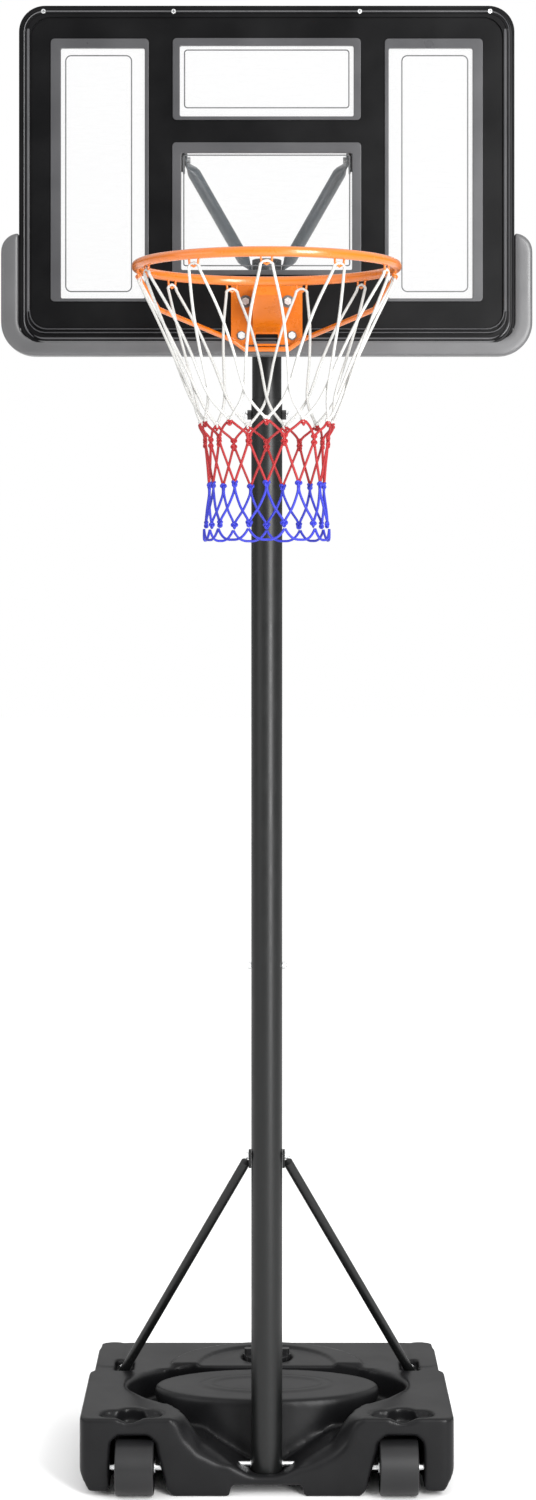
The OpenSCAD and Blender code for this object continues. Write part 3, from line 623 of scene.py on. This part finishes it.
def moulding(window: Window, y: float, steps: list[tuple[float, float]]) -> bmesh.types.BMesh:
    """Runs a moulding round a window, one step at a time towards its middle.

    Args:
        window: The moulding's outer outline.
        y: Where its outer edge stands, in metres.
        steps: How far each step goes inwards and forwards, in millimetres.

    Returns:
        The moulding, open in the middle.
    """
    bm = bmesh.new()
    face = window.face(bm, y)
    for inwards, forwards in steps:
        bmesh.ops.inset_region(bm, faces=[face], thickness=max(inwards, 0.01) * MM, depth=forwards * MM,
                               use_even_offset=True, use_boundary=True)
    bmesh.ops.delete(bm, geom=[face], context="FACES_ONLY")
    bmesh.ops.recalc_face_normals(bm, faces=bm.faces)
    outward = sum((f.normal.y * f.calc_area() for f in bm.faces))
    if outward > 0:
        bmesh.ops.reverse_faces(bm, faces=bm.faces)
    return bm


@dataclass
class Tank:
    """The fillable base, its wheels, rod and filler cap.

    The bowl is the soft part of the base's top, by distances in millimetres from the pole's axis.
    """

    voxel_mm: float = 4.2
    smoothing: int = 6
    bowl_smoothing: int = 26
    pole_y: float = POLE_Y
    foot_z: float = 24.0
    bowl_front: float = -130.0
    bowl_rear: float = 288.0
    socket_r: float = 46.0
    deck_y: float = 172.0
    deck_reach: tuple[float, float] = (170.0, 80.0)
    deck_z: float = 150.0
    corner: tuple[float, float] = (262.0, 262.0)
    valley_reach: float = 195.0
    valley_rear: float = 45.0
    shoulder_reach: float = 300.0

    def build(self) -> None:
        """Builds every piece of the base."""
        body = eased("base_tank", TANK_PLASTIC, Body.STAND, self.voxel_mm, self.smoothing)
        self.ease_bowl(body)
        for side, body in (("left", Body.LEFT_WHEEL), ("right", Body.RIGHT_WHEEL)):
            softened(f"{side}_wheel", WHEEL_PLASTIC, body, 1.5)
        softened("fill_cap", CAP_PLASTIC, Body.FILL_CAP, 1.4)
        dress(SEAL_RUBBER, "cap_seal")
        dress(ZINC, "wheel_axles", "axle_washers", "pivot_rod", "pivot_clips")

    def ease_bowl(self, body: bpy.types.Object) -> None:
        """Rounds the recess, the deck's shoulder and the valley much more than the outer edges.

        Args:
            body: The remeshed tank.
        """
        bowl = body.vertex_groups.new(name="bowl")
        bowl.add([v.index for v in body.data.vertices if self.in_bowl(v.co)], 1.0, "REPLACE")
        ease = body.modifiers.new("bowl", "SMOOTH")
        ease.factor = 0.5
        ease.iterations = self.bowl_smoothing
        ease.vertex_group = bowl.name
        bake_modifiers(body)

    def in_bowl(self, place: Vector) -> bool:
        """Tells whether a point belongs to the big soft curves around the pole and the deck.

        Args:
            place: The point in metres.

        Returns:
            Whether it is in the bowl, and clear of the pole's socket, the deck's flat top and the rear corners.
        """
        x, y, z = abs(place.x) / MM, place.y / MM - self.pole_y, place.z / MM
        if z < self.foot_z or not self.bowl_front < y < self.bowl_rear or math.hypot(x, y) < self.socket_r:
            return False
        if math.hypot(x / self.deck_reach[0], (y - self.deck_y) / self.deck_reach[1]) < 1.0 and z > self.deck_z:
            return False
        if x > self.corner[0] and y > self.corner[1]:
            return False
        return x < (self.valley_reach if y < self.valley_rear else self.shoulder_reach)


@dataclass
class Pole:
    """The three tubes, their bolts, the clamp and the struts."""

    def build(self) -> None:
        """Dresses the tubes and their hardware."""
        dress(POLE_PAINT, "lower_tube", "middle_tube", "upper_tube", "clamp_nuts")
        dress(CAP_PLASTIC, "pole_top_cap")
        dress(ZINC, "seam_bolt", "seam_nut", "strut_bolt", "strut_nut", "strut_foot_bolts", "strut_foot_nuts",
              "left_clamp_screw", "right_clamp_screw")
        for side, _ in SIDES:
            softened(f"{side}_strut", POLE_PAINT, Body.STAND, 0.8)


@dataclass
class Arms:
    """The four arms between the pole and the board, pressed flat at their ends, with their brackets."""

    pole_y: float = POLE_Y
    plate: float = 5.0
    upper_root: tuple[float, float, float] = (32.75, 0.0, 2488.0)
    upper_end: tuple[float, float, float] = (160.0, -160.0, 2694.0)
    lower_root: tuple[float, float, float] = (32.75, 0.0, 2334.0)
    lower_end: tuple[float, float, float] = (52.0, -160.0, 2366.0)
    upper_r: float = 13.0
    lower_r: float = 11.0
    pad: float = 26.0

    def build(self) -> None:
        """Builds the arms and dresses their hardware."""
        for name, side in SIDES:
            self.arm(f"{name}_upper_arm", side, self.upper_root, self.upper_end, self.upper_r, ARM_PAINT)
            self.arm(f"{name}_lower_arm", side, self.lower_root, self.lower_end, self.lower_r, POLE_PAINT)
            softened(f"{name}_arm_bracket", POLE_PAINT, Body.CARRIAGE, 0.8)
        dress(ZINC, "bracket_screws", "pole_arm_bolts", "pole_arm_nuts", "board_arm_bolts", "board_arm_nuts")

    def place(self, point: tuple[float, float, float], side: float) -> Vector:
        """Turns a point about the pole, in millimetres, into the part's frame on one side."""
        return Vector((point[0] * side, point[1] + self.pole_y, point[2])) * MM

    def arm(self, node: str, side: float, root: tuple[float, float, float], end: tuple[float, float, float],
            radius: float, finish: Finish) -> None:
        """Draws one arm whose round tube runs out flat at both ends.

        Args:
            node: The node that it stands for.
            side: Minus one on the left, one on the right.
            root: The bolt at the pole.
            end: The bolt at the board.
            radius: The tube's radius.
            finish: Its finish.
        """
        half = self.plate / 2 * MM
        r = radius * MM
        first = self.place(root, side)
        second = self.place(end, side)
        run = (second - first).normalized()
        start = first + run * self.pad * MM
        stop = second - run * self.pad * MM
        path = []
        sections = []
        for at, towards in ((first, start), (second, stop)):
            flat = Vector((0.0, towards.y - at.y, towards.z - at.z)).normalized()
            points = []
            shapes = []
            for turn in (8, 30, 50, 70, 90):
                points.append(at - flat * r * math.cos(math.radians(turn)))
                shapes.append((half, r * math.sin(math.radians(turn))))
            points.append(at + flat * r * 0.75)
            shapes.append((half, r))
            for i in (1, 2, 3, 4):
                t = i / 4
                ease = t * t * (3 - 2 * t)
                points.append((at + flat * r * 0.75).lerp(towards + (towards - at) * 0.35, t))
                shapes.append((half + (r - half) * ease, r))
            if path:
                points.reverse()
                shapes.reverse()
            path += points
            sections += shapes
        bm = bmesh.new()
        sweep(bm, path, sections, 24, Vector((1.0, 0.0, 0.0)))
        bmesh.ops.recalc_face_normals(bm, faces=bm.faces)
        settle(node + "_tube", bm, finish, Body.CARRIAGE, (node,), smooth_to=50.0)


@dataclass
class Backboard:
    """The black frame with its lip, windows, trims, panes and edge guard, and grey strips painted as highlights on
    the lip.
    """

    rib_y: float = -41.8
    lip_y: float = -43.75
    pane_y: float = -33.75
    lip_gap: float = 0.02
    slope_place: tuple[float, float] = (470.7, 2664.0)
    slope_size: tuple[float, float, float] = (8.6, 2.4, 556.0)
    slope_round: float = 1.1
    rib_bend: float = 34.0
    rib_end_z: float = 2388.0
    rib_half: tuple[float, float] = (3.5, 1.3)

    def build(self) -> None:
        """Builds the board from the frame forwards."""
        softened("board_frame", FRAME_PLASTIC, Body.CARRIAGE, 1.2)
        eased("edge_guard", GUARD_RUBBER, Body.CARRIAGE, 3.2, 24)
        self.lip()
        self.trims()
        dress(ACRYLIC, "left_pane", "right_pane", "top_pane", "target_pane")
        dress(ZINC, "board_screws")
        self.lines()

    def lip(self) -> None:
        """Draws the black ridges round the frame's lip, and the grey bead, slopes and ribs on it that are painted
        highlights.
        """
        outer = Window(-483.0, 483.0, 2320.0, 2983.0, 48.0)
        steps = [(0.6, 1.0), (1.4, 0.5), (3.4, 0.0), (1.0, -1.5), (1.4, 0.0), (1.0, 1.5), (2.6, 0.0), (0.8, -1.5)]
        bm = moulding(outer, (self.lip_y - self.lip_gap) * MM, steps)
        settle("lip_ridges", bm, FRAME_PLASTIC, Body.CARRIAGE, smooth_to=50.0)
        # The grey bead, slopes and ribs below are painted highlights on the black lip.
        inner = Window(-480.4, 480.4, 2330.0, 2979.0, 42.0)
        steps = [(0.6, 0.9), (1.2, 0.6), (1.4, 0.0), (1.2, -0.6), (0.6, -0.9)]
        bm = moulding(inner, (self.lip_y - self.lip_gap) * MM, steps)
        settle("lip_highlight_bead", bm, TRIM_AND_LIP_HIGHLIGHT_GREY, Body.CARRIAGE, smooth_to=60.0)
        for name, side in SIDES:
            self.slope(f"{name}_lip_highlight_slope", side)
        for name, reach, z in (("outer_highlight_rib", 470.6, 2344.8), ("inner_highlight_rib", 466.4, 2351.8)):
            self.rib(name, reach, z)

    def slope(self, name: str, side: float) -> None:
        """Lays the narrow rounded grey slope down one side of the lip, a painted highlight on the black lip.

        Args:
            name: The piece's name.
            side: Minus one on the left, one on the right.
        """
        bm = bmesh.new()
        bmesh.ops.create_cube(bm, size=1.0)
        middle = Vector((side * self.slope_place[0], self.lip_y, self.slope_place[1])) * MM
        bmesh.ops.scale(bm, vec=Vector(self.slope_size) * MM, verts=bm.verts)
        bmesh.ops.translate(bm, vec=middle, verts=bm.verts)
        bmesh.ops.bevel(bm, geom=bm.edges, offset=self.slope_round * MM, affect="EDGES", segments=4, profile=0.5,
                        material=-1)
        settle(name, bm, TRIM_AND_LIP_HIGHLIGHT_GREY, Body.CARRIAGE, smooth_to=60.0)

    def rib(self, name: str, reach: float, z: float) -> None:
        """Runs one thin grey rib along the bottom of the field and up round its corners, a painted highlight line on
        the black lip.

        Args:
            name: The piece's name.
            reach: How far out its ends stand.
            z: The height of its straight run.
        """
        bend = self.rib_bend
        path = [Vector((-reach, self.rib_y, self.rib_end_z))]
        for turn in range(180, 271, 15):
            a = math.radians(turn)
            path.append(Vector((-reach + bend + bend * math.cos(a), self.rib_y, z + bend + bend * math.sin(a))))
        path += [Vector((-p.x, p.y, p.z)) for p in reversed(path)]
        bm = bmesh.new()
        sweep(bm, [p * MM for p in path], [(self.rib_half[0] * MM, self.rib_half[1] * MM)] * len(path), 10, BACK)
        bmesh.ops.recalc_face_normals(bm, faces=bm.faces)
        settle(name, bm, TRIM_AND_LIP_HIGHLIGHT_GREY, Body.CARRIAGE, smooth_to=60.0)

    def trims(self) -> None:
        """Eases the bevelled trim round each window."""
        for node in ("left_trim", "right_trim", "top_trim", "target_trim"):
            softened(node, TRIM_AND_LIP_HIGHLIGHT_GREY, Body.CARRIAGE, 1.6, 3)

    def lines(self) -> None:
        """Draws the printed line just inside each window."""
        lines = {
            "left_line": Window(-397.0, -265.0, 2425.0, 2892.0, 12.0),
            "right_line": Window(265.0, 397.0, 2425.0, 2892.0, 12.0),
            "top_line": Window(-163.0, 163.0, 2787.0, 2903.0, 7.0),
            "target_line": Window(-164.5, 164.5, 2476.0, 2696.0, 5.0),
        }
        for name, window in lines.items():
            bm = moulding(window, self.pane_y * MM, [(0.2, 0.2), (2.0, 0.0), (0.2, -0.2)])
            settle(name, bm, LINE_INK, Body.CARRIAGE)


@dataclass
class Ring:
    """The orange ring, its bracket, brace, bolts and net hooks."""

    def build(self) -> None:
        """Dresses the ring and eases its sheet-metal edges."""
        softened("rim_bracket", RIM_PAINT, Body.CARRIAGE, 1.2)
        softened("rim_back_plate", POLE_PAINT, Body.CARRIAGE, 0.8)
        dress(RIM_PAINT, "rim_ring", "brace_rod", "net_hooks")
        dress(ZINC, "rim_bolts", "rim_nuts")
        # The washers' dark grey is partly painted shade round the bolt heads.
        dress(GALVANISED_AND_PAINTED_SHADE, "rim_washers")


@dataclass
class Net:
    """The knotted net: white legs from the hooks, then red and blue rows of cord."""

    count: int = 11
    middle_y: float = -421.75
    hook_r: float = 236.0
    hook_z: float = 2408.0
    cord_r: float = 2.7
    thin_r: float = 2.35
    hook_half: float = 12.5
    leg_bow: float = 5.5
    leg_shape: tuple[tuple[float, float, float], ...] = (
        (0.25, 0.235, 0.0), (0.5, 0.36, 0.8), (0.66, 0.43, 2.4), (0.78, 0.50, 3.0), (0.87, 0.62, 2.0),
        (0.94, 0.80, 0.8), (1.0, 1.0, 0.0),
    )
    row_a: tuple[float, float] = (122.0, 2144.0)
    row_b: tuple[float, float] = (113.0, 2111.0)
    row_c: tuple[float, float] = (106.0, 2032.0)
    row_d: tuple[float, float] = (111.0, 1960.0)
    hem: tuple[float, float] = (115.0, 1929.0)

    def build(self) -> None:
        """Builds the three colours of cord."""
        white = bmesh.new()
        red = bmesh.new()
        blue = bmesh.new()
        for i in range(self.count):
            self.leg_pair(white, i)
            self.knot(white, self.at(i, self.row_a[0], self.row_a[1] + 3), 1.7, i, self.thin_r)
            self.red_cords(red, i)
            self.blue_cords(blue, i)
        for name, bm, finish, slot in (("net_legs", white, WHITE_CORD, "net_white"),
                                       ("net_middle", red, RED_CORD, "net_red"),
                                       ("net_hem", blue, BLUE_CORD, "net_blue")):
            bmesh.ops.recalc_face_normals(bm, faces=bm.faces)
            settle(name, bm, finish, Body.CARRIAGE, ("net",), smooth_to=80.0)

    def at(self, step: float, radius: float, z: float) -> Vector:
        """Finds a point round the net.

        Args:
            step: Hooks round from the front one, whole or part.
            radius: Distance from the ring's axis in millimetres.
            z: Height in millimetres.

        Returns:
            The point in metres.
        """
        turn = math.radians(step * 360 / self.count - 90)
        return Vector((radius * math.cos(turn), self.middle_y + radius * math.sin(turn), z)) * MM

    def leg_pair(self, bm: bmesh.types.BMesh, i: int) -> None:
        """Hangs one white cord over a hook, with a leg to the knot on each side.

        Args:
            bm: The mesh it is added to.
            i: The hook it hangs from.
        """
        rise = self.hook_z + self.cord_r + 2.4
        spread = self.hook_half / self.hook_r * self.count / (2 * math.pi)
        halves = []
        for side in (-1, 1):
            halves.append([
                self.at(i + side * 0.35 * spread, self.hook_r, rise),
                self.at(i + side * 0.85 * spread, self.hook_r - 0.5, rise - 4.5),
                self.at(i + side * spread, self.hook_r - 3.5, rise - 14),
                *[self.leg_point(i, side, drop, turn, out) for drop, turn, out in self.leg_shape],
            ])
        top = [self.at(i, self.hook_r, rise + 1.2)]
        cord(bm, smooth_path(list(reversed(halves[0])) + top + halves[1], 4), self.cord_r * MM)

    def leg_point(self, i: int, side: int, drop: float, turn: float, out: float) -> Vector:
        """Finds a point on a leg.

        Args:
            i: The hook it hangs from.
            side: Minus one or one, the side that the leg goes to.
            drop: How far down the leg it is, from zero to one.
            turn: How far round to the next knot it is, from zero to one.
            out: How far it passes outside or inside its neighbour, in millimetres.

        Returns:
            The point in metres.
        """
        high = self.hook_z - 8
        z = high + (self.row_a[1] + 2 - high) * drop
        bow = self.leg_bow * math.sin(math.pi * drop)
        radius = self.hook_r - 4 + (self.row_a[0] - self.hook_r + 4) * drop - bow
        return self.at(i + side * turn, radius + out * side, z)

    def knot(self, bm: bmesh.types.BMesh, centre: Vector, size: float, step: float, radius: float,
             tall: float = 1.0) -> None:
        """Ties an overhand knot.

        Args:
            bm: The mesh it is added to.
            centre: Its middle.
            size: Its size in millimetres, about a quarter of its width.
            step: Where it stands round the net, which turns it to face outwards.
            radius: The cord's radius in millimetres.
            tall: How much it is drawn out in height.
        """
        turn = Matrix.Rotation(math.radians(step * 360 / self.count), 3, "Z")
        path = []
        for k in range(31):
            t = 2 * math.pi * k / 30
            local = Vector((math.sin(t) + 2 * math.sin(2 * t), -math.sin(3 * t) * 1.1,
                            (math.cos(t) - 2 * math.cos(2 * t)) * tall))
            path.append(centre + turn @ local * size * MM)
        cord(bm, path, radius * MM, 7)

    def red_cords(self, bm: bmesh.types.BMesh, i: int) -> None:
        """Draws the red cords round one hook's line, from the first knots down to the third row.

        Args:
            bm: The mesh they are added to.
            i: The hook above them.
        """
        for side in (-1, 1):
            cord(bm, smooth_path([
                self.at(i, self.row_a[0] + side * 1.2, self.row_a[1] + 2),
                self.at(i + side * 0.2, self.row_a[0] - 1, self.row_a[1] - 9),
                self.at(i + side * 0.42, self.row_b[0] + 1.5, self.row_b[1] + 11),
                self.at(i + side * 0.5, self.row_b[0] + side, self.row_b[1]),
                self.at(i + side * 0.44, self.row_b[0] - 1.5, self.row_b[1] - 12),
                self.at(i + side * 0.25, self.row_b[0] - 5, self.row_b[1] - 42),
                self.at(i + side * 0.05, self.row_c[0] + 0.6, self.row_c[1] + 8),
                self.at(i + side * 0.02, self.row_c[0], self.row_c[1] + 1),
            ], 5), self.thin_r * MM)
        self.knot(bm, self.at(i, self.row_a[0] + 0.5, self.row_a[1] - 3), 1.5, i, self.thin_r)
        for lift in (5.5, -5.5):
            self.knot(bm, self.at(i + 0.5, self.row_b[0], self.row_b[1] + lift), 1.6, i + 0.5, self.thin_r, 1.15)

    def blue_cords(self, bm: bmesh.types.BMesh, i: int) -> None:
        """Draws the blue ball knot, its two cords down to the hem knots and the hem's loop.

        Args:
            bm: The mesh they are added to.
            i: The hook above them.
        """
        self.knot(bm, self.at(i, self.row_c[0], self.row_c[1]), 1.8, i, self.thin_r)
        for side in (-1, 1):
            cord(bm, smooth_path([
                self.at(i + side * 0.01, self.row_c[0] + side * 0.8, self.row_c[1] - 2),
                self.at(i + side * 0.035, self.row_c[0], self.row_c[1] - 16),
                self.at(i + side * 0.22, self.row_c[0] + 2.5, self.row_c[1] - 42),
                self.at(i + side * 0.44, self.row_d[0], self.row_d[1] + 9),
                self.at(i + side * 0.49, self.row_d[0] + side * 0.8, self.row_d[1] + 1),
            ], 5), self.thin_r * MM)
        self.knot(bm, self.at(i + 0.5, self.row_d[0], self.row_d[1]), 1.8, i + 0.5, self.thin_r)
        loop = [self.at(i + s, self.hem[0] - 1.5 * (1 - abs(s) * 2), self.hem[1] + 2.0 + 21 * (abs(s) * 2) ** 3)
                for s in (-0.49, -0.42, -0.3, -0.15, 0.0, 0.15, 0.3, 0.42, 0.49)]
        cord(bm, smooth_path(loop, 3), self.thin_r * MM)


@dataclass
class Studio:
    """The pale floor, soft light and camera."""

    lens: float = 64.56
    eye: tuple[float, float, float] = (0.0025, -5.33175, 1.866)
    shift: float = -0.116
    side_light: float = 0.12
    top_light: float = 1.35

    def build(self) -> None:
        """Sets up everything that isn't part of the hoop."""
        self.camera()
        self.floor()
        self.light("key", (2.0, -3.5, 2.2), (0.0, 0.0, 1.4), (1.1, 3.6), 250.0)
        self.light("fill", (-3.6, -2.4, 2.4), (0.0, 0.0, 1.2), (2.6, 2.6), 38.0)
        self.dome()
        bpy.context.scene.view_settings.view_transform = "Standard"

    def dome(self) -> None:
        """Lights the hoop from a white dome, bright overhead and dim at the sides, before a white wall."""
        world = bpy.data.worlds.new("studio")
        world.use_nodes = True
        tree = world.node_tree
        tree.nodes.clear()
        way = add(tree, "ShaderNodeTexCoord")
        parts = add(tree, "ShaderNodeSeparateXYZ", inputs={0: way.outputs["Generated"]})
        height = add(tree, "ShaderNodeMapRange", {"interpolation_type": "SMOOTHSTEP"},
                     {0: parts.outputs[2], 1: -0.1, 2: 0.75, 3: self.side_light, 4: self.top_light})
        dome = add(tree, "ShaderNodeBackground", inputs={0: linear("#ffffff"), 1: height.outputs[0]})
        wall = add(tree, "ShaderNodeBackground", inputs={0: linear("#ffffff"), 1: 1.0})
        seen = add(tree, "ShaderNodeLightPath")
        both = add(tree, "ShaderNodeMixShader", inputs={0: seen.outputs["Is Camera Ray"], 1: dome.outputs[0],
                                                        2: wall.outputs[0]})
        add(tree, "ShaderNodeOutputWorld", inputs={0: both.outputs[0]})
        bpy.context.scene.world = world

    def camera(self) -> None:
        """Stands the camera level in front, at the middle of the pole's height."""
        data = bpy.data.cameras.new("front")
        data.lens = self.lens
        data.shift_y = self.shift
        data.clip_end = 100.0
        camera = bpy.data.objects.new("front", data)
        camera.location = self.eye
        camera.rotation_euler = (math.radians(90), 0.0, 0.0)
        bpy.context.scene.collection.objects.link(camera)
        bpy.context.scene.camera = camera

    def floor(self) -> None:
        """Lays a plain pale floor."""
        bm = bmesh.new()
        bmesh.ops.create_grid(bm, x_segments=1, y_segments=1, size=30.0)
        mesh = bpy.data.meshes.new("floor")
        bm.to_mesh(mesh)
        bm.free()
        floor = bpy.data.objects.new("floor", mesh)
        bpy.context.scene.collection.objects.link(floor)
        material = bpy.data.materials.new("pale_floor")
        material.use_nodes = True
        shader = material.node_tree.nodes["Principled BSDF"]
        shader.inputs["Base Color"].default_value = linear("#f6f6f6")
        shader.inputs["Roughness"].default_value = 0.9
        mesh.materials.append(material)

    def light(self, name: str, place: tuple[float, float, float], aim: tuple[float, float, float],
              size: tuple[float, float], power: float) -> None:
        """Hangs a soft box.

        Args:
            name: The light's name.
            place: Where it hangs.
            aim: The point it faces.
            size: Its width and height in metres.
            power: Its power in watts.
        """
        data = bpy.data.lights.new(name, "AREA")
        data.shape = "RECTANGLE"
        data.size, data.size_y = size
        data.energy = power
        light = bpy.data.objects.new(name, data)
        light.location = place
        light.rotation_euler = (Vector(aim) - Vector(place)).to_track_quat("-Z", "Y").to_euler()
        bpy.context.scene.collection.objects.link(light)


def main() -> None:
    """Builds the hoop and its studio in order."""
    logging.basicConfig(level=logging.INFO, format="%(message)s")
    for part in (Studio(), Tank(), Pole(), Arms(), Backboard(), Ring(), Net()):
        LOG.info("building %s", type(part).__name__)
        part.build()


if __name__ == "__main__":
    main()
